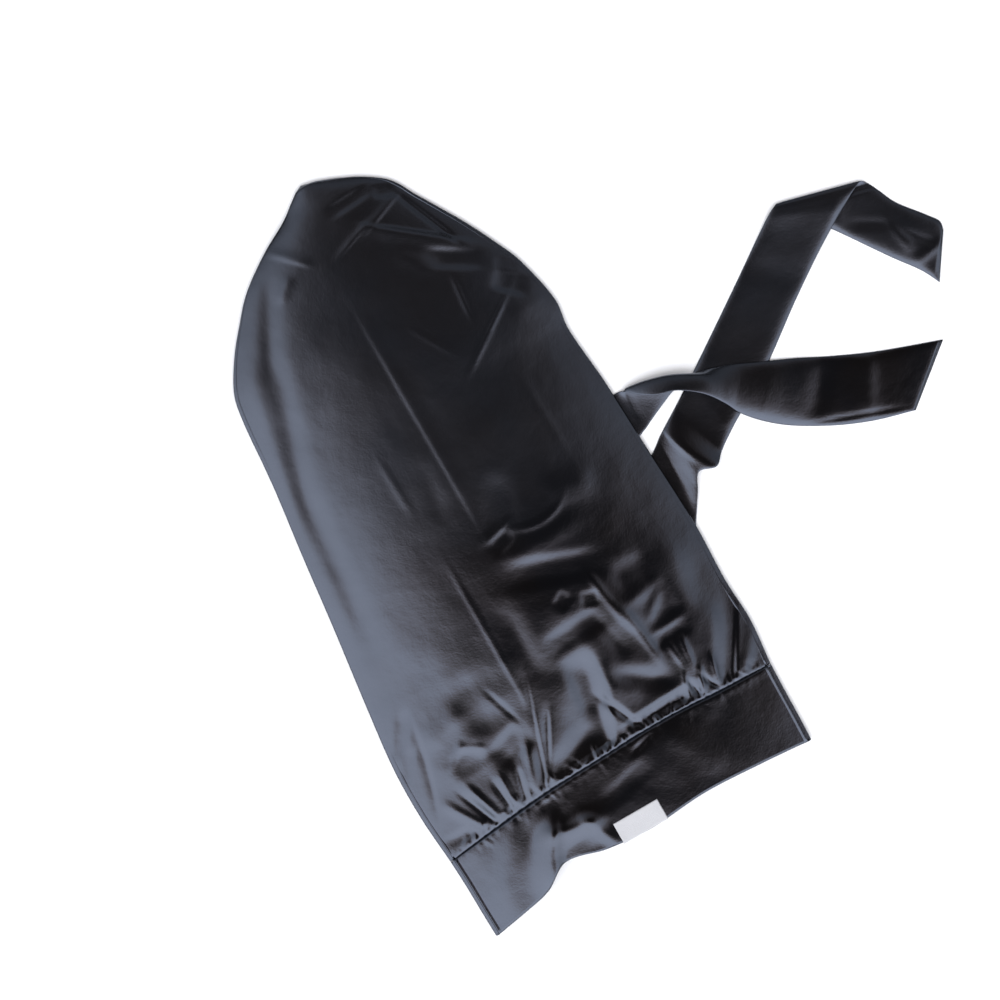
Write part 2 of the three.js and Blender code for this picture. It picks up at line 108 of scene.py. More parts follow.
# Every fold runs through (x, y) at a bearing in degrees from +X towards +Y. Width is its half-width, and a
# negative height is a dent or a valley. Flat is the power of its profile: 2 is round, and 4 has a flat top
# or bottom between steep sides. Bend bows it sideways, and lean makes its left flank wide and its right
# one steep.
Fold = namedtuple("Fold", "x y bearing length width height flat bend lean", defaults=(2, 0, 0))
BAG_FOLDS = [Fold(*row) for row in (
    # the deep valley in the middle, which ends in a round hollow
    (9, 44, 86, 96, 17, -5.5, 2, 0, 0.5),
    (13, 64, 84, 46, 13, -2.2, 4),
    (15, 28, 74, 44, 6, 3.2, 2),
    (25, 30, -66, 46, 3, -2.2, 2),
    (54, 17, 2, 60, 7, -3.2, 4),
    (52, 47, -35, 46, 8, -2.4, 2),
    (-22, 24, 20, 44, 10, -2.6, 2),
    # the left side, near the seam
    (-41, 52, 71, 80, 3, -2.0, 2, 0, 0.4),
    (-35, 44, 62, 44, 3, -1.6, 2, 0, 0.4),
    (-37, 66, 72, 50, 4, 1.6),
    (-62, 52, 20, 30, 11, -2.0, 4),
    (-98, 59, 10, 26, 9, -1.1, 4),
    (-104, 66, 40, 22, 3, 0.8),
    (-90, 66, -30, 20, 3, 0.9),
    (-74, 95, 80, 46, 15, -1.6),
    (-103, 90, 15, 40, 10, 1.4),
    (-134, 100, 54, 36, 5, -1.8, 3),
    (-141, 77, 50, 26, 4, -1.4, 3),
    (-129, 66, 75, 70, 3, -1.4, 2, 2, 0.4),
    (-134, 9, 0, 26, 5, -2.4, 3),
    (-120, 20, -58, 40, 4, 1.8),
    (-108, 20, -68, 40, 2.4, -1.4),
    (-102, 22, -72, 40, 3, 1.6),
    (-87, 18, -84, 34, 2.4, -1.2),
    (-82, 20, 88, 34, 3, 1.4),
    (-71, 20, 76, 30, 2.6, -1.6),
    (-56, 34, 74, 40, 4, 1.2),
    (-53, 82, -72, 34, 2, -0.7),
    # streaks and dents in the middle
    (-35, 130, 90, 120, 2.2, 0.5),
    (-17, 116, 88, 60, 9, -1.4),
    (24, 104, 4, 50, 9, -1.6, 3),
    (45, 92, 100, 46, 7, -1.4),
    (36, 154, -20, 66, 11, -1.8, 4),
    (28, 130, 30, 13, 5.5, -0.9, 4),
    (47, 121, -20, 13, 5.5, -0.9, 4),
    (59, 114, -82, 52, 4, 1.3),
    (85, 120, 0, 30, 13, -1.6, 3),
    # the right side, near the seam
    (88, 89, 10, 34, 14, -1.5, 5),
    (88, 92, 40, 26, 4, 0.6),
    (88, 66, 2, 30, 6, -1.4, 3),
    (84, 47, 96, 30, 3, 1.0),
    (92, 46, 82, 30, 3, 1.2),
    (78, 20, 76, 30, 2.6, 1.8),
    (84, 17, 104, 26, 2.2, -1.8),
    (90, 19, 70, 28, 2.4, 2.0),
    (96, 17, 108, 24, 2.2, -1.7),
    (103, 20, 74, 30, 2.6, 1.7),
    (126, 38, 58, 72, 7, -3.0, 3, 0, 0.5),
    (136, 24, 48, 52, 6, 1.8),
    (68, 78, -83, 56, 4, 1.4),
    (114, 92, 78, 80, 14, 1.6),
    # the upper middle
    (10, 192, 16, 20, 6, -1.0, 4),
    (10, 202, 12, 30, 3, 0.7),
    (77, 204, -10, 36, 12, 1.5),
    (44, 191, 0, 44, 3, 0.8, 2, 6),
    (22, 216, 60, 46, 14, -1.5, 3),
    (36, 178, 0, 70, 8, 0.9),
    (2, 300, 90, 190, 4, 0.6, 2, 0, -0.6),
    (-17, 250, 80, 40, 7, -0.6),
    (-40, 270, 92, 44, 3, 0.35),
    (88, 262, 92, 60, 4, 0.35),
    # the long valley on the left, and the rounded ridge beside it
    (-110, 245, 84, 130, 9, -1.6),
    (-92, 340, 72, 130, 9, -1.8),
    (-124, 250, 84, 150, 8, 1.0),
    (-108, 345, 77, 130, 8, 1.2),
    (-64, 425, 62, 84, 8, -1.6),
    (-38, 446, 40, 20, 5, 0.9),
    (-24, 466, -46, 36, 3, 1.0, 2, 0, 0.5),
    # dents and pleats towards the tip
    (84, 339, 35, 72, 2, 0.9),
    (117, 364, -42, 26, 8, -2.0, 5),
    (121, 379, -30, 16, 5, -1.0, 4),
    (122, 342, 0, 34, 8, 1.2),
    (88, 402, -30, 44, 8, -2.0, 4),
    (62, 414, -45, 34, 7, 1.0),
    (78, 372, 84, 34, 2.4, -0.8),
    (42, 352, -60, 40, 2.4, 0.4),
    (73, 431, -38, 84, 5, 2.4, 2, 0, -0.6),
    (58, 461, 22, 46, 3, 1.2, 2, 0, 0.4),
    (28, 453, 20, 36, 2.4, 0.9, 2, 0, 0.4),
    (86, 440, -68, 60, 2.6, -1.8),
    (67, 475, -22, 16, 5, -1.4, 4),
    (40, 481, 4, 36, 5, -1.4, 4),
)]
BAND_FOLDS = [Fold(*row) for row in (
    # the arch at the hem, its steep flank and the hollow under it
    (-77, -38, 64, 60, 9, 5, 2, 0, 0.35),
    (-50, -27, -8, 46, 7, 3.4),
    (-34, -40, -66, 40, 6, 2.2),
    (-60, -45, 10, 34, 9, -1.2, 4),
    (-112, -32, 52, 70, 12, 1.6),
    (-70, -8, 30, 60, 8, -1.2),
    # shallow unevenness of the rest
    (28, 4, 20, 26, 3, -1.4),
    (0, -18, 14, 44, 7, -0.9, 3),
    (58, -16, -60, 60, 12, 1.2),
    (110, -20, 0, 60, 22, -0.5),
)]

# The folds grow out of the seam over this distance on the bag, and over this part of the band.
BAG_FOLD_START = 8
BAND_FOLD_START = 0.12

# Small gathers along the seam, drawn at random between these limits.
GATHER_SEED = 7
GATHER_PITCH = (3, 11)
GATHER_LENGTH = (5, 15)
GATHER_WIDTH = (1.1, 2.2)
GATHER_HEIGHT = (0.3, 1.2)
GATHER_TURN = 32
GATHER_BAND_SHARE = 0.25
GATHER_TUCK = 2

# How deep the cloth sinks into the stitched seam, and how far from it.
BAG_SEAM_DIP = (1.0, 1.2)
BAND_SEAM_DIP = (0.9, 1.2)

# Uneven cloth: (size of its waves, height) for each layer. Away from the seam the bag calms down to a share
# of them, over the stretch given, and the band has a share of its own.
SOFT_WAVES = ((46, 1.0), (22, 0.5))
CALMING_STRETCH = (30, 190)
CALM_SHARE = 0.25
BAND_WAVE_SHARE = 0.4

# Ties: the rungs of the ribbon's middle surface, each from its left edge over its crown to its right edge,
# walking from the sewn end to the cut end. A rung with no crown is straight.
TIE_UNDER_RUNGS = (
    ((23, -19, 0.6), None, (61, -33, 0.6)),
    ((48, 54, 0.6), None, (88, 36, 0.6)),
    ((79, 117, 0.6), None, (117, 93, 0.6)),
    ((124, 176, 0.6), None, (143, 121, 0.6)),
    ((152, 197.5, 0.6), (152, 165, 0.7), (151, 133, 0.9)),
    ((157, 201.5, 0.6), (158, 178, 1.4), (162, 150, 3)),
    ((161, 204, 0.6), (165, 182, 3.2), (170.5, 163, 4.6)),
    ((164, 206, 0.6), (169, 184, 4.6), (184.5, 159.8, 5)),
    ((180, 216, 0.6), (186, 193, 1.4), (194, 168, 1.4)),
    ((200, 229, 0.6), None, (209, 178.5, 0.6)),
    ((232, 250.5, 0.6), None, (256, 207, 0.6)),
    ((278, 282, 0.6), None, (304, 242, 0.6)),
    ((303, 299.5, 1.3), None, (343, 268.5, 1.8)),
    ((318, 309.5, 3), None, (374, 287, 3.5)),
    ((324, 312.5, 3.5), None, (387, 294, 3.7)),
    ((327, 313.5, 2.1), None, (393, 296, 2.2)),
    ((330, 309, 0.6), None, (397, 292, 0.6)),
    ((340, 295, 0.6), None, (402, 282, 0.6)),
    ((356, 273.5, 0.6), None, (408, 269, 0.6)),
    ((384, 233, 0.6), (404, 240, 1.6), (425, 247, 0.6)),
    ((400, 211, 0.6), (415, 224, 1.2), (431, 238, 0.6)),
    ((407, 197, 0.6), None, (430, 231, 0.6)),
)
TIE_OVER_RUNGS = (
    ((-38, -22, 0.6), None, (2, -32, 0.6)),
    ((-17, 67, 0.6), None, (27, 53, 0.6)),
    ((15, 146, 0.6), None, (55, 124, 0.6)),
    ((65, 212, 0.6), None, (95, 178, 0.6)),
    ((112, 242, 0.6), None, (128, 202, 0.6)),
    ((147.5, 248, 1.2), (148, 232, 0.6), (147, 211, 0.6)),
    ((153, 244.5, 5), (153, 243, 1.6), (152, 213, 0.6)),
    ((160, 238, 8.8), (160, 245, 3.6), (158, 216, 0.8)),
    ((171, 231.5, 12), (174, 243.5, 6.5), (170, 221.5, 1.4)),
    ((186, 226.5, 13.5), (190, 238.5, 8.5), (186, 228, 2.6)),
    ((203.5, 213.5, 12), (209, 226.5, 9.5), (204, 231.5, 3)),
    ((214, 199.5, 8.5), (223, 212, 8), (231, 224, 3)),
    ((222, 185, 4.8), (238, 198, 5.5), (251, 215, 2.8)),
    ((243, 164, 1.4), (260, 182, 3), (278, 203, 1.4)),
    ((276, 143.5, 0.6), (288, 168, 1.2), (303, 190.5, 0.6)),
    ((308, 129.5, 0.6), None, (335, 176, 0.6)),
    ((341, 120, 0.6), None, (387, 157, 0.6)),
)
TIE_OVER_FOLDS = [Fold(*row) for row in (
    # the line of the turned edge, and two soft waves across the flat end
    (306, 137, -20, 92, 1.8, -0.6),
    (318, 158, 62, 60, 9, 0.8),
    (285, 172, 50, 50, 8, -0.7),
)]
TIE_UNDER_FOLDS = [Fold(*row) for row in (
    # soft waves across the long straight run
    (225, 222, -50, 60, 11, 0.6),
    (296, 270, -40, 70, 12, -0.6),
    # creases in the end that is folded under
    (362, 280, 60, 44, 7, 0.8),
    (386, 262, -30, 36, 4, -0.7),
    (398, 246, 100, 32, 4, 0.8),
    (410, 236, -50, 30, 3, -0.6),
    (412, 222, 10, 28, 4, 0.7),
)]

# Rungs of each tie that lie under the band and the bag.
HIDDEN_RUNGS = 6
TIE_STEPS_PER_RUNG = 14
TIE_COLUMNS = 30
TIE_EDGE_POWER = 10
TIE_END_FULLNESS = 0.85

# A tie's flat stretches rise a little between their edges, each from its first rung to its last, and fade over
# some rungs: (first, last, fade).
TIE_LIFT = 1.0
TIE_FADE_POWER = 6
TIE_OVER_LIFTS = ((11.5, 15.95, 1.0),)
TIE_UNDER_LIFTS = ((8, 13.8, 1.0), (16.4, 21, 0.4))

# Label: sewn flat on the band, its lower edge on the hem.
LABEL_SIDES = (-24.5, 14.8)
LABEL_ENDS = (-39.5, -57)
LABEL_GRID = (60, 28)

# Grids of the bag and the band: columns across the top and the underside, and (start, end, step) of rows.
TOP_COLUMNS = 232
UNDER_COLUMNS = 40
EDGE_CROWDING = 0.22
BAG_STEPS = ((0, 30, 1.1), (30, 220, 1.6), (220, 340, 2.2), (340, 509, 1.5))
INNER_BAG_STEPS = ((0, 30, 5), (30, 480, 10), (480, 509, 4))
BAND_OUTER_STEPS = 44
BAND_INNER_STEPS = 18

# The inside of the bag and the band: how far it stays from their sides, the room that it always keeps, and
# how the band's two layers close at the hem, as a share of the wall, and at the seam.
HALF_WIDTH = 140
EDGE_INSET = 2.6
INNER_REACH = 1 - EDGE_INSET / HALF_WIDTH
LEAST_ROOM = 0.4
HEM_ROUND = 0.4
SEAM_CLOSE = 0.08

CAMERA_TARGET = (25.2, 221.4)
VIEW_WIDTH = 780
SENSOR = 36


class BonnetCloth(bpy.types.PropertyGroup):
    bag_wall: bpy.props.FloatProperty(
        name="Bag wall", description="Thickness of the bag's cloth, with its seams and air",
        default=0.0009, min=0.0003, max=0.002, unit="LENGTH")
    band_wall: bpy.props.FloatProperty(
        name="Band wall", description="Thickness of the doubled band's cloth",
        default=0.0014, min=0.0005, max=0.003, unit="LENGTH")
    tie_wall: bpy.props.FloatProperty(
        name="Tie wall", description="Thickness of a turned and pressed tie",
        default=0.0011, min=0.0005, max=0.0012, unit="LENGTH")
    label_wall: bpy.props.FloatProperty(
        name="Label wall", description="Thickness of the woven tape label",
        default=0.0006, min=0.0003, max=0.0012, unit="LENGTH")
    fold_share: bpy.props.FloatProperty(
        name="Folds", description="How strongly the cloth is folded and dented",
        default=0.7, min=0.0, max=1.5, subtype="FACTOR")


class BonnetColours(bpy.types.PropertyGroup):
    satin: bpy.props.FloatVectorProperty(
        name="Satin", description="Colour of the satin where no light is mirrored in it",
        default=(0.0016, 0.0018, 0.0024), min=0, max=1, subtype="COLOR")
    satin_warm: bpy.props.FloatVectorProperty(
        name="Satin, warm", description="Colour of the satin in its warmer patches",
        default=(0.0024, 0.0019, 0.0018), min=0, max=1, subtype="COLOR")
    sheen: bpy.props.FloatVectorProperty(
        name="Satin, sheen", description="Tint of the light that the satin mirrors",
        default=(0.72, 0.8, 1.0), min=0, max=1, subtype="COLOR")
    label: bpy.props.FloatVectorProperty(
        name="Label", description="Colour of the woven tape",
        default=(0.56, 0.56, 0.575), min=0, max=1, subtype="COLOR")
    floor: bpy.props.FloatVectorProperty(
        name="Floor", description="Colour of the floor",
        default=(0.93, 0.93, 0.93), min=0, max=1, subtype="COLOR")


class BonnetStage(bpy.types.PropertyGroup):
    camera_height: bpy.props.FloatProperty(
        name="Camera height", description="Distance of the camera above the floor",
        default=2.0, min=1, max=4, unit="LENGTH")
    camera_roll: bpy.props.FloatProperty(
        name="Camera roll", description="How far the camera is turned about its line of sight",
        default=math.radians(-30), subtype="ANGLE")
    light: bpy.props.FloatProperty(
        name="Light", description="Brightness of the studio's light",
        default=1.0, min=0, max=5, subtype="FACTOR")


def smoothstep(value, start, end):
    share = np.clip((value - start) / (end - start), 0, 1)
    return share * share * (3 - 2 * share)


def read_rows(rows, key, column, at):
    """One column of a table where its key column reaches the given numbers, on a smooth curve."""
    keys = np.array(rows[key], float)
    values = np.array(rows[column], float)
    slopes = np.gradient(values)
    slopes[1:-1] = (values[2:] - values[:-2]) / (keys[2:] - keys[:-2])
    slopes[0] = (values[1] - values[0]) / (keys[1] - keys[0])
    slopes[-1] = (values[-1] - values[-2]) / (keys[-1] - keys[-2])
    place = np.clip(at, keys[0], keys[-1])
    low = np.clip(np.searchsorted(keys, place) - 1, 0, len(keys) - 2)
    span = keys[low + 1] - keys[low]
    t = (place - keys[low]) / span
    rise = t * t * (3 - 2 * t)
    start = values[low] * (1 - rise) + values[low + 1] * rise
    return start + span * t * (1 - t) * ((1 - t) * slopes[low] - t * slopes[low + 1])


def fold_height(folds, x, y):
    """Height that a table of folds adds at each point."""
    height = np.zeros(np.broadcast(x, y).shape)
    for fold in folds:
        turn = math.radians(fold.bearing)
        dx = x - fold.x
        dy = y - fold.y
        along = (dx * math.cos(turn) + dy * math.sin(turn)) / (fold.length / 2)
        across = dy * math.cos(turn) - dx * math.sin(turn) - fold.bend * along * along
        across = across / fold.width
        across = np.minimum(np.abs(across / (1 + fold.lean * np.tanh(across))), 4)
        height += fold.height * np.exp(-np.minimum(along**4, 50) - across**fold.flat)
    return height


def seam_gathers():
    """Small random folds that start in the gathered seam and run out into the bag."""
    draw = random.Random(GATHER_SEED)
    folds = []
    x = BAG_ROWS["left"][0] + GATHER_PITCH[0]
    sign = 1
    while x < BAG_ROWS["right"][0] - GATHER_PITCH[0]:
        length = draw.uniform(*GATHER_LENGTH)
        bearing = 90 + draw.uniform(-GATHER_TURN, GATHER_TURN)
        seam = float(read_rows(SEAM_ROWS, "x", "y", x))
        reach = length / 2 - GATHER_TUCK
        folds.append(Fold(
            x + reach * math.cos(math.radians(bearing)),
            seam + reach * math.sin(math.radians(bearing)),
            bearing,
            length,
            draw.uniform(*GATHER_WIDTH),
            sign * draw.uniform(*GATHER_HEIGHT),
        ))
        x += draw.uniform(*GATHER_PITCH) / 2
        sign = -sign
    return folds


def waves(x, y, layers):
    """Smooth uneven height in layers of (size, height)."""
    x, y = np.broadcast_arrays(x, y)
    height = np.zeros(x.shape)
    flat = height.ravel()
    for layer, (size, rise) in enumerate(layers):
        places = zip((x / size).ravel(), (y / size).ravel())
        values = np.array([noise.noise(Vector((a, b, 7.3 * layer))) for a, b in places])
        flat += rise * 2 * values
    return height


def underside_rest(x, y):
    """Height of the underside: on the floor, and over the two ties where they run beneath it."""
    nearest = np.full(np.broadcast(x, y).shape, np.inf)
    for rungs in (TIE_UNDER_RUNGS, TIE_OVER_RUNGS):
        hidden = rungs[:HIDDEN_RUNGS]
        middles = [(np.array(left) + np.array(right))[:2] / 2 for left, _crown, right in hidden]
        for start, end in zip(middles, middles[1:]):
            run = end - start
            share = ((x - start[0]) * run[0] + (y - start[1]) * run[1]) / run.dot(run)
            share = np.clip(share, 0, 1)
            distance = np.hypot(x - start[0] - share * run[0], y - start[1] - share * run[1])
            nearest = np.minimum(nearest, distance)
    return TIE_RISE * (1 - smoothstep(nearest, *TIE_COVER))


def underside(x, y, side):
    rest = underside_rest(x, y)
    curl = np.clip((np.abs(side) - UNDER_FLAT_SHARE) / (1 - UNDER_FLAT_SHARE), 0, 1)
    return rest + (EDGE_HEIGHT - rest) * curl**UNDER_CURL_POWER


def swell(height, side):
    bow = np.clip(1 - np.abs(side) ** SWELL_POWER, 0, 1) ** SWELL_ROUNDNESS
    return EDGE_HEIGHT + (height - EDGE_HEIGHT) * bow


def spread(count):
    """Places from side to side, -1 to +1, closer together at both sides."""
    s = np.linspace(-1, 1, count + 1)
    return s * (1 + EDGE_CROWDING * (1 - s * s))


def steps(stretches):
    rows = [np.arange(start, end, step) for start, end, step in stretches]
    return np.concatenate(rows)[:, None]


def across(rows, key, place, side):
    left = read_rows(rows, key, "left", place)
    right = read_rows(rows, key, "right", place)
    return left + (right - left) * (side + 1) / 2


def calm(side):
    return 1 - np.abs(side) ** SIDE_FADE_POWER


def seam_dip(distance, depth, reach):
    """The cloth sinks into the stitched seam."""
    return -depth * np.exp(-((distance / reach) ** 2))


def bag_y(place, x):
    share = 1 - smoothstep(place, 0, SEAM_REACH)
    return SEAM_GAP / 2 + place + read_rows(SEAM_ROWS, "x", "y", x) * share


def bag_plain(place, side):
    """The bag's upper side without any folds: rows along it, columns across it."""
    x = across(BAG_ROWS, "y", place, side)
    y = bag_y(place, x)
    z = swell(read_rows(BAG_ROWS, "y", "height", place), side) + calm(side) * seam_dip(place, *BAG_SEAM_DIP)
    return np.stack(np.broadcast_arrays(x, y, z), axis=-1)


def bag_top(place, side, cloth):
    """The bag's upper side with the folds that lie in it."""
    points = bag_plain(place, side)
    x, y = points[..., 0], points[..., 1]
    start = np.minimum(1, place / BAG_FOLD_START)
    lively = CALM_SHARE + (1 - CALM_SHARE) * (1 - smoothstep(place, *CALMING_STRETCH))
    detail = fold_height(BAG_FOLDS, x, y) * start
    detail += waves(x, y, SOFT_WAVES) * lively * start
    detail += fold_height(seam_gathers(), x, y)
    points[..., 2] += calm(side) * detail * cloth.fold_share
    return points


def bag_under(place, side):
    x = across(BAG_ROWS, "y", place, side)
    y = bag_y(place, x)
    return np.stack(np.broadcast_arrays(x, y, underside(x, y, side)), axis=-1)


def band_y(part, x):
    seam = read_rows(SEAM_ROWS, "x", "y", x) - SEAM_GAP / 2
    hem = read_rows(HEM_ROWS, "x", "y", x)
    return seam + (hem - seam) * part


def band_top(part, side, cloth):
    x = across(BAND_ROWS, "part", part, side)
    y = band_y(part, x)
    z = swell(read_rows(BAND_ROWS, "part", "height", part), side)
    start = np.minimum(1, part / BAND_FOLD_START)
    detail = fold_height(BAND_FOLDS, x, y) * start
    detail += waves(x, y, SOFT_WAVES) * BAND_WAVE_SHARE * start
    seam = read_rows(SEAM_ROWS, "x", "y", x)
    detail += fold_height(seam_gathers(), x, 2 * seam - y) * GATHER_BAND_SHARE
    depth = part * (seam - read_rows(HEM_ROWS, "x", "y", x))
    detail = detail * cloth.fold_share + seam_dip(depth, *BAND_SEAM_DIP)
    return np.stack(np.broadcast_arrays(x, y, z + calm(side) * detail), axis=-1)


def band_under(part, side):
    x = across(BAND_ROWS, "part", part, side)
    y = band_y(part, x)
    return np.stack(np.broadcast_arrays(x, y, underside(x, y, side)), axis=-1)


def rings(top, under):
    """Closed rings from rows of the upper side and the underside. The last column repeats the first."""
    return np.concatenate([top, under[:, -2:0:-1], top[:, :1]], axis=1)


def inner_skin(top, under, wall):
    """The inside of a flattened tube: below the lowest point of the top near by, above the underside."""
    low = top[..., 2].copy()
    for shift in (-2, -1, 1, 2):
        for axis in (0, 1):
            low = np.minimum(low, np.roll(top[..., 2], shift, axis=axis))
    top = top.copy()
    under = under.copy()
    under[..., 2] += wall
    spaced = np.linspace(0, under.shape[1] - 1, top.shape[1])
    floor = np.array([np.interp(spaced, np.arange(under.shape[1]), row[:, 2]) for row in under])
    top[..., 2] = np.maximum(low - wall, floor + LEAST_ROOM)
    edge = EDGE_HEIGHT + wall / 2
    top[:, (0, -1), 2] = edge
    return top, under


def cloth_mesh(name, points, finish):
    """A mesh on a grid of points in millimetres. Points that coincide are merged, which closes the grid."""
    rows, columns = points.shape[:2]
    places = points.reshape(-1, 3) * MM + ORIGIN
    bm = bmesh.new()
    bm.loops.layers.uv.new("cloth")
    bmesh.ops.create_grid(bm, x_segments=columns - 1, y_segments=rows - 1, size=0.5, calc_uvs=True)
    for vertex, place in zip(bm.verts, places):
        vertex.co = place
    bmesh.ops.remove_doubles(bm, verts=bm.verts, dist=1e-6)
    bmesh.ops.recalc_face_normals(bm, faces=bm.faces)
    mesh = bpy.data.meshes.new(name)
    bm.to_mesh(mesh)
    bm.free()
    mesh.shade_smooth()
    mesh.materials.append(finish)
    piece = bpy.data.objects.new(name, mesh)
    bpy.context.scene.collection.objects.link(piece)
    return piece


def guide_curve(points, shares):
    """A centripetal curve through points, read at shares of 0 to 1 along its list of points."""
    points = np.array(points, float)
    before = 2 * points[0] - points[1]
    after = 2 * points[-1] - points[-2]
    padded = np.vstack([before, points, after])
    last = len(points) - 2
    place = shares * (len(points) - 1)
    low = np.minimum(place.astype(int), last)
    t = (place - low)[:, None]
    a, b, c, d = (padded[low + k] for k in range(4))
    gaps = [np.sqrt(np.linalg.norm(q - p, axis=1))[:, None] for p, q in ((a, b), (b, c), (c, d))]
    g0, g1, g2 = (np.maximum(gap, 1e-4) for gap in gaps)
    start = ((b - a) / g0 - (c - a) / (g0 + g1) + (c - b) / g1) * g1
    end = ((c - b) / g1 - (d - b) / (g1 + g2) + (d - c) / g2) * g1
    t2, t3 = t * t, t * t * t
    return (2 * t3 - 3 * t2 + 1) * b + (t3 - 2 * t2 + t) * start + (3 * t2 - 2 * t3) * c + (t3 - t2) * end


def ribbon_middle(rungs):
    """The middle surface of a tie: rows along it, columns from its left edge to its right edge."""
    shares = np.linspace(0, 1, (len(rungs) - 1) * TIE_STEPS_PER_RUNG + 1)
    left = [np.array(rung[0], float) for rung in rungs]
    right = [np.array(rung[2], float) for rung in rungs]
    crown = [(a + b) / 2 if rung[1] is None else np.array(rung[1], float)
             for a, b, rung in zip(left, right, rungs)]
    a, b, c = (guide_curve(points, shares)[:, None, :] for points in (left, crown, right))
    v = tie_shares()[None, :, None]
    return a * (1 - v) * (1 - 2 * v) + b * 4 * v * (1 - v) + c * v * (2 * v - 1)


def tie_shares():
    """Places across a tie, from 0 to 1, closer together at its edges."""
    return 0.5 - 0.5 * np.cos(np.linspace(0, math.pi, TIE_COLUMNS + 1))


def creased(middle, lifts, folds, wall):
    """The middle surface of a tie, raised a little and creased on its flat stretches."""
    rung = np.arange(middle.shape[0]) / TIE_STEPS_PER_RUNG
    flat = np.zeros_like(rung)
    for first, last, fade in lifts:
        flat += np.clip((rung - first) / fade, 0, 1) * np.clip((last - rung) / fade, 0, 1)
    fade = flat[:, None] * (1 - np.abs(2 * tie_shares() - 1) ** TIE_FADE_POWER)
    middle = middle.copy()
    middle[..., 2] += fade * (TIE_LIFT + fold_height(folds, middle[..., 0], middle[..., 1]))
    middle[..., 2] = np.maximum(middle[..., 2], wall / 2)
    return middle


def surface_normals(points):
    along = np.gradient(points, axis=0)
    sideways = np.gradient(points, axis=1)
    normal = np.cross(sideways, along)
    return normal / np.linalg.norm(normal, axis=2, keepdims=True)


def slab(middle, share_across, wall):
    """A thin closed slab on its middle surface, with rounded edges and ends."""
    rows = middle.shape[0]
    half = wall / 2
    edge = np.clip(1 - np.abs(2 * share_across - 1) ** TIE_EDGE_POWER, 0, 1) ** 0.5
    end = np.ones(rows)
    end[[0, -1]] = 0
    end[[1, -2]] = TIE_END_FULLNESS
    offset = surface_normals(middle) * (half * edge)[None, :, None] * end[:, None, None]
    upper = middle + offset
    lower = middle - offset
    return np.concatenate([upper, lower[:, -2:0:-1], upper[:, :1]], axis=1)


class Value:
    """A shader socket that takes part in Python's arithmetic."""

    def __init__(self, shader, socket):
        self.shader = shader
        self.socket = socket

    def math(self, operation, first, second):
        node = self.shader.node("ShaderNodeMath", {"operation": operation}, {0: first, 1: second})
        return Value(self.shader, node.outputs[0])

    def __add__(self, other):
        return self.math("ADD", self, other)

    def __rsub__(self, other):
        return self.math("SUBTRACT", other, self)

    def __mul__(self, other):
        return self.math("MULTIPLY", self, other)

    __radd__ = __add__
    __rmul__ = __mul__


class Nodes:
    """A node tree that is built from Python."""

    def __init__(self, tree):
        self.tree = tree

    def node(self, kind, settings, inputs):
        node = self.tree.nodes.new(kind)
        for key, value in settings.items():
            setattr(node, key, value)
        self.feed(node, inputs)
        return node

    def feed(self, node, inputs):
        for key, value in inputs.items():
            socket = node.inputs[key]
            if isinstance(value, Value):
                self.tree.links.new(value.socket, socket)
            elif isinstance(value, bpy.types.NodeSocket):
                self.tree.links.new(value, socket)
            else:
                socket.default_value = value

    def value(self, kind, settings, inputs, output=0):
        return Value(self, self.node(kind, settings, inputs).outputs[output])

    def ramp(self, value, low, high, start=0.0, end=1.0):
        """A value moved smoothly from (low, high) to (start, end)."""
        return self.value("ShaderNodeMapRange", {"interpolation_type": "SMOOTHSTEP"}, {
            "Value": value, "From Min": low, "From Max": high, "To Min": start, "To Max": end,
        })

    def mix(self, share, first, second):
        node = self.node("ShaderNodeMix", {"data_type": "RGBA"}, {0: share, 6: first, 7: second})
        return Value(self, node.outputs[2])


class Finish(Nodes):
    """A material and its nodes."""

    def __init__(self, name):
        self.material = bpy.data.materials.new(name)
        self.material.use_nodes = True
        super().__init__(self.material.node_tree)
        self.shader = self.tree.nodes["Principled BSDF"]

    def place(self, scale=(1, 1, 1), turn=0.0):
        """Object coordinates, scaled and turned about Z."""
        coordinates = self.node("ShaderNodeTexCoord", {}, {})
        return self.value("ShaderNodeMapping", {}, {
            "Vector": coordinates.outputs["Object"],
            "Rotation": (0, 0, turn),
            "Scale": scale,
        })

    def noise(self, size, detail=2.0, stretch=(1, 1, 1), turn=0.0):
        """Noise with features of a size in millimetres."""
        scale = tuple(share / (size * MM) for share in stretch)
        return self.value("ShaderNodeTexNoise", {}, {
            "Vector": self.place(scale, turn),
            "Scale": 1.0,
            "Detail": detail,
        })

    def bump(self, height, distance, strength=1.0, normal=None):
        inputs = {"Height": height, "Distance": distance, "Strength": strength}
        if normal is not None:
            inputs["Normal"] = normal
        return self.value("ShaderNodeBump", {}, inputs)


def rgba(colour):
    return (*colour, 1.0)


# The satin is duller towards the tip, between these places along the bag.
DULL_FROM = (ORIGIN[1] + 150 * MM, ORIGIN[1] + 260 * MM)

# Sizes of its patches, clouds and weave are in millimetres. A bump is (height in metres, strength).
PATCH_SIZE = 70
PATCH_LIMITS = (0.35, 0.65)
CLOUD_SIZE = 14
CLOUD_BUMP = (0.0004, 0.5)
WEAVE_SIZE = 1.3
WEAVE_BUMP = (0.0002, 0.35)
UNEVEN_SIZE = 45
SMOOTHEST = 0.13
DULLER_BY = 0.11
UNEVEN_BY = 0.04


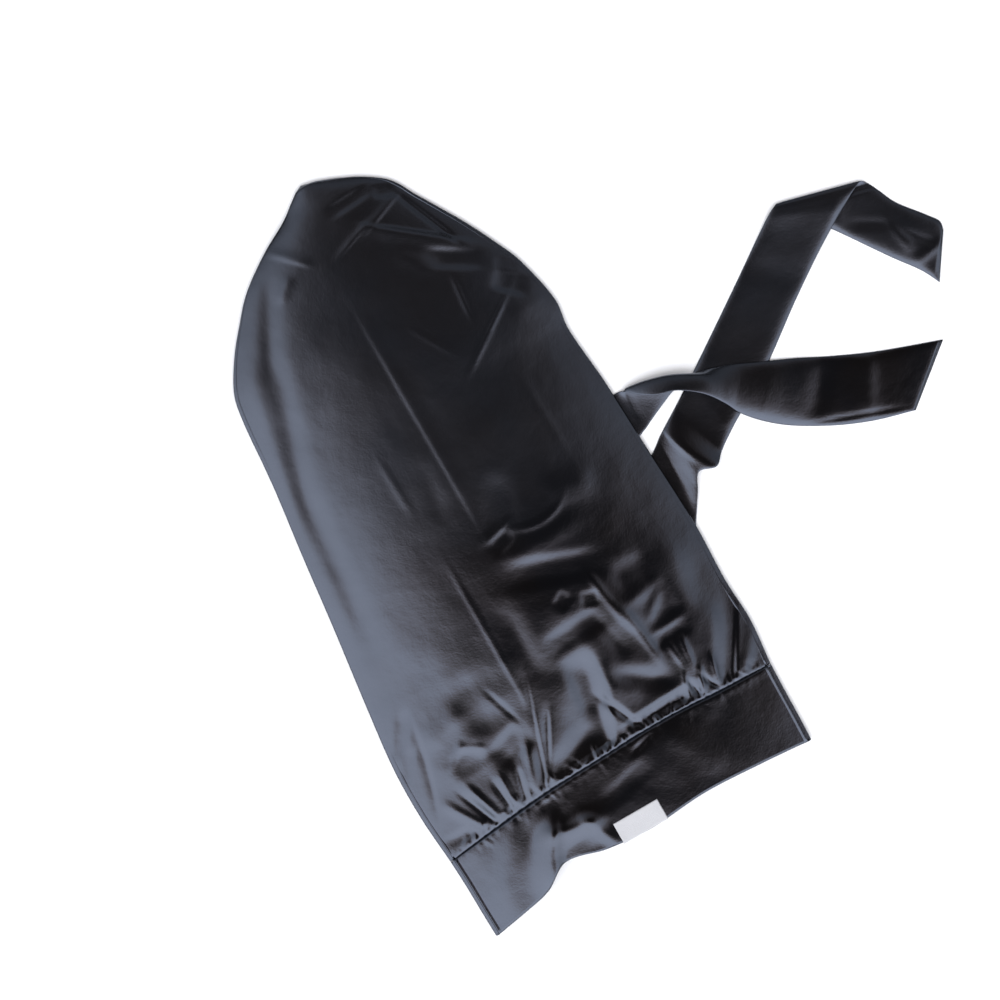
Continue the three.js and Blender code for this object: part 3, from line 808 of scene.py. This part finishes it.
def satin(name, colours):
    """Charcoal satin: dark yarns with a soft mirror and a fine weave."""
    finish = Finish(name)
    patches = finish.ramp(finish.noise(PATCH_SIZE), *PATCH_LIMITS)
    finish.feed(finish.shader, {
        "Base Color": finish.mix(patches, rgba(colours.satin), rgba(colours.satin_warm)),
        "Specular IOR Level": 1.0,
        "Specular Tint": rgba(colours.sheen),
    })
    along = finish.node("ShaderNodeSeparateXYZ", {}, {"Vector": finish.place()}).outputs["Y"]
    dull = finish.ramp(along, *DULL_FROM)
    clouds = finish.bump(finish.noise(CLOUD_SIZE), *CLOUD_BUMP)
    finish.feed(finish.shader, {
        "Roughness": SMOOTHEST + DULLER_BY * dull + UNEVEN_BY * finish.noise(UNEVEN_SIZE),
        "Normal": finish.bump(finish.noise(WEAVE_SIZE), *WEAVE_BUMP, clouds),
    })
    return finish.material


def woven_tape(colours):
    """White woven tape: matt, with the ribs of its weave."""
    finish = Finish("label_tape")
    ribs = finish.value("ShaderNodeTexWave", {"bands_direction": "X"}, {
        "Vector": finish.place((1 / MM, 1 / MM, 1 / MM)), "Scale": 1.6, "Distortion": 0.4,
    })
    finish.feed(finish.shader, {
        "Base Color": finish.mix(ribs * 0.12, rgba(colours.label), (0.48, 0.48, 0.5, 1)),
        "Roughness": 0.7 + ribs * 0.1,
        "Normal": finish.bump(ribs, 0.0001, 0.6),
        "Sheen Weight": 0.1,
    })
    return finish.material


def made(piece, node):
    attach(piece, "root")
    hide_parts(node)
    return piece


class BONNET_OT_bag(bpy.types.Operator):
    """Sew the hollow satin bag, gathered at its seam"""
    bl_idname = "bonnet.bag"
    bl_label = "Bag"

    def execute(self, context):
        cloth = context.scene.bonnet_cloth
        wall = cloth.bag_wall / MM
        place = steps(BAG_STEPS)
        top_side = spread(TOP_COLUMNS)[None, :]
        under_side = spread(UNDER_COLUMNS)[None, :]
        top = bag_top(place, top_side, cloth)
        under = bag_under(place, under_side)
        inner_place = steps(INNER_BAG_STEPS)
        near = np.abs(place - inner_place.T).argmin(axis=0)
        inset = (INNER_REACH, 1, 1)
        inner_top, inner_under = inner_skin(top[near] * inset, under[near] * inset, wall)
        keep = inner_place[:, 0] < INNER_TIP_Y
        inside = rings(inner_top[keep], inner_under[keep])
        outside = rings(top, under)
        columns = outside.shape[1]
        inner_tip = np.tile(np.array([BAG_TIP[0], INNER_TIP_Y + 1, BAG_TIP[2]]), (1, columns, 1))
        outer_tip = np.tile(np.array(BAG_TIP), (1, columns, 1))
        chain = np.concatenate([inner_tip, inside[::-1], outside, outer_tip])
        piece = cloth_mesh("bag_satin", chain, satin("bag_satin", context.scene.bonnet_colours))
        made(piece, "bag")
        return {"FINISHED"}


class BONNET_OT_band(bpy.types.Operator):
    """Sew the wide doubled band, from the gathered seam to the folded hem"""
    bl_idname = "bonnet.band"
    bl_label = "Band"

    def execute(self, context):
        cloth = context.scene.bonnet_cloth
        wall = cloth.band_wall / MM
        part = np.linspace(0, 1, BAND_OUTER_STEPS + 1)[:, None]
        top_side = spread(TOP_COLUMNS)[None, :]
        under_side = spread(UNDER_COLUMNS)[None, :]
        top = band_top(part, top_side, cloth)
        under = band_under(part, under_side)
        near = np.round(np.linspace(0, BAND_OUTER_STEPS, BAND_INNER_STEPS + 1)).astype(int)
        inset = (INNER_REACH, 1, 1)
        inner_top, inner_under = inner_skin(top[near] * inset, under[near] * inset, wall)
        outside = rings(top, under)
        inside = rings(inner_top, inner_under)[::-1]
        hem = (outside[-1:] + inside[:1]) / 2 - (0, HEM_ROUND * wall, 0)
        seam = (outside[:1] + inside[-1:]) / 2 + (0, SEAM_CLOSE, 0)
        chain = np.concatenate([seam, outside, hem, inside, seam])
        finish = satin("band_satin", context.scene.bonnet_colours)
        piece = cloth_mesh("band_satin", chain, finish)
        made(piece, "band")
        return {"FINISHED"}


class BONNET_OT_ties(bpy.types.Operator):
    """Sew the two long ties that start under the band"""
    bl_idname = "bonnet.ties"
    bl_label = "Ties"

    def execute(self, context):
        wall = context.scene.bonnet_cloth.tie_wall / MM
        finish = satin("tie_satin", context.scene.bonnet_colours)
        for node, rungs, lifts, folds in (
            ("tie_over", TIE_OVER_RUNGS, TIE_OVER_LIFTS, TIE_OVER_FOLDS),
            ("tie_under", TIE_UNDER_RUNGS, TIE_UNDER_LIFTS, TIE_UNDER_FOLDS),
        ):
            middle = creased(ribbon_middle(rungs), lifts, folds, wall)
            piece = cloth_mesh(node + "_satin", slab(middle, tie_shares(), wall), finish)
            made(piece, node)
        return {"FINISHED"}


class BONNET_OT_label(bpy.types.Operator):
    """Sew the small bare label on the band's hem"""
    bl_idname = "bonnet.label"
    bl_label = "Label"

    def execute(self, context):
        cloth = context.scene.bonnet_cloth
        wall = cloth.label_wall / MM
        x = np.linspace(*LABEL_SIDES, LABEL_GRID[0] + 1)[None, :]
        y = np.linspace(*LABEL_ENDS, LABEL_GRID[1] + 1)[:, None]
        seam = read_rows(SEAM_ROWS, "x", "y", x)
        part = np.clip((seam - y) / (seam - read_rows(HEM_ROWS, "x", "y", x)), 0, 1)
        left = BAND_ROWS["left"][-1]
        right = BAND_ROWS["right"][-1]
        side = 2 * (x - left) / (right - left) - 1
        band = band_top(part, side, cloth)
        middle = np.stack(np.broadcast_arrays(x, y, band[..., 2] + SEAM_GAP + wall), axis=-1)
        share = np.linspace(0, 1, LABEL_GRID[0] + 1)
        finish = woven_tape(context.scene.bonnet_colours)
        piece = cloth_mesh("label_tape", slab(middle, share, wall), finish)
        made(piece, "label")
        return {"FINISHED"}


# The studio's light by direction. It is dim straight above, where the camera stands, and bright all round,
# most of all from the key side, but dimmer again near the floor. Angles are in degrees, the key bearing from
# +X towards +Y.
DIM_CONE = (12, 34)
KEY_BEARING = 232
DIM_TILT = 10
DIM_LIGHT = 0.024
KEY_SPREAD = 0.7
SIDE_LIGHT = (0.38, 3.5)
HORIZON_LIGHT = 0.08
HORIZON_HEIGHTS = (0.08, 0.62)
LIGHT_COOL = (0.96, 0.985, 1.04, 1)
LIGHT_WARM = (1.3, 1.0, 0.85, 1)


def studio_world(share):
    """A soft dome of light."""
    world = bpy.data.worlds.new("studio")
    world.use_nodes = True
    dome = Nodes(world.node_tree)
    direction = dome.node("ShaderNodeTexCoord", {}, {}).outputs["Generated"]
    height = dome.node("ShaderNodeSeparateXYZ", {}, {"Vector": direction}).outputs["Z"]
    turn = math.radians(KEY_BEARING)
    key = dome.value("ShaderNodeVectorMath", {"operation": "DOT_PRODUCT"}, {
        0: direction, 1: (math.cos(turn), math.sin(turn), 0),
    }, "Value")
    tilt = math.radians(DIM_TILT)
    centre = (-math.cos(turn) * math.sin(tilt), -math.sin(turn) * math.sin(tilt), math.cos(tilt))
    dim_share = dome.value("ShaderNodeVectorMath", {"operation": "DOT_PRODUCT"}, {
        0: direction, 1: centre,
    }, "Value")
    inner, outer = (math.cos(math.radians(angle)) for angle in DIM_CONE)
    dim = dome.ramp(dim_share, outer, inner)
    side = dome.ramp(key, -KEY_SPREAD, KEY_SPREAD, *SIDE_LIGHT)
    low = dome.ramp(height, *HORIZON_HEIGHTS, HORIZON_LIGHT, 1.0)
    strength = (side * low) * (1 - dim) + DIM_LIGHT * dim
    dome.feed(world.node_tree.nodes["Background"], {
        "Color": dome.mix(dim, LIGHT_COOL, LIGHT_WARM),
        "Strength": strength * share,
    })
    return world


class BONNET_OT_stage(bpy.types.Operator):
    """Set up the pale floor, the soft lights and the camera straight above"""
    bl_idname = "bonnet.stage"
    bl_label = "Floor, lights and camera"

    def execute(self, context):
        stage = context.scene.bonnet_stage
        colours = context.scene.bonnet_colours
        bm = bmesh.new()
        bmesh.ops.create_grid(bm, x_segments=4, y_segments=4, size=6)
        mesh = bpy.data.meshes.new("floor")
        bm.to_mesh(mesh)
        bm.free()
        finish = Finish("pale_floor")
        finish.feed(finish.shader, {"Base Color": rgba(colours.floor), "Roughness": 0.9,
                                    "Specular IOR Level": 0.1})
        mesh.materials.append(finish.material)
        floor = bpy.data.objects.new("floor", mesh)
        context.scene.collection.objects.link(floor)

        context.scene.world = studio_world(stage.light)

        data = bpy.data.cameras.new("above")
        data.sensor_width = SENSOR
        data.lens = SENSOR * stage.camera_height / (VIEW_WIDTH * MM)
        camera = bpy.data.objects.new("above", data)
        target = np.array([*CAMERA_TARGET, 0]) * MM + ORIGIN
        camera.location = (target[0], target[1], stage.camera_height)
        camera.rotation_euler = (0, 0, stage.camera_roll)
        context.scene.collection.objects.link(camera)
        context.scene.camera = camera
        context.scene.view_settings.view_transform = "Standard"
        return {"FINISHED"}


class BONNET_PT_sidebar(bpy.types.Panel):
    """The bonnet's pieces, in the order they are sewn"""
    bl_label = "Braid bonnet"
    bl_idname = "BONNET_PT_sidebar"
    bl_space_type = "VIEW_3D"
    bl_region_type = "UI"
    bl_category = "Bonnet"

    def draw(self, context):
        for group in (context.scene.bonnet_cloth, context.scene.bonnet_colours, context.scene.bonnet_stage):
            for key in group.__annotations__:
                self.layout.prop(group, key)
        for operator in OPERATORS:
            self.layout.operator(operator.bl_idname)


GROUPS = (BonnetCloth, BonnetColours, BonnetStage)
OPERATORS = (BONNET_OT_stage, BONNET_OT_ties, BONNET_OT_bag, BONNET_OT_band, BONNET_OT_label)


def register():
    for kind in (*GROUPS, *OPERATORS, BONNET_PT_sidebar):
        bpy.utils.register_class(kind)
    bpy.types.Scene.bonnet_cloth = bpy.props.PointerProperty(type=BonnetCloth)
    bpy.types.Scene.bonnet_colours = bpy.props.PointerProperty(type=BonnetColours)
    bpy.types.Scene.bonnet_stage = bpy.props.PointerProperty(type=BonnetStage)


def unregister():
    del bpy.types.Scene.bonnet_stage
    del bpy.types.Scene.bonnet_colours
    del bpy.types.Scene.bonnet_cloth
    for kind in reversed((*GROUPS, *OPERATORS, BONNET_PT_sidebar)):
        bpy.utils.unregister_class(kind)


def main():
    register()
    bpy.ops.bonnet.stage()
    bpy.ops.bonnet.ties()
    bpy.ops.bonnet.bag()
    bpy.ops.bonnet.band()
    bpy.ops.bonnet.label()


if __name__ == "__main__":
    main()
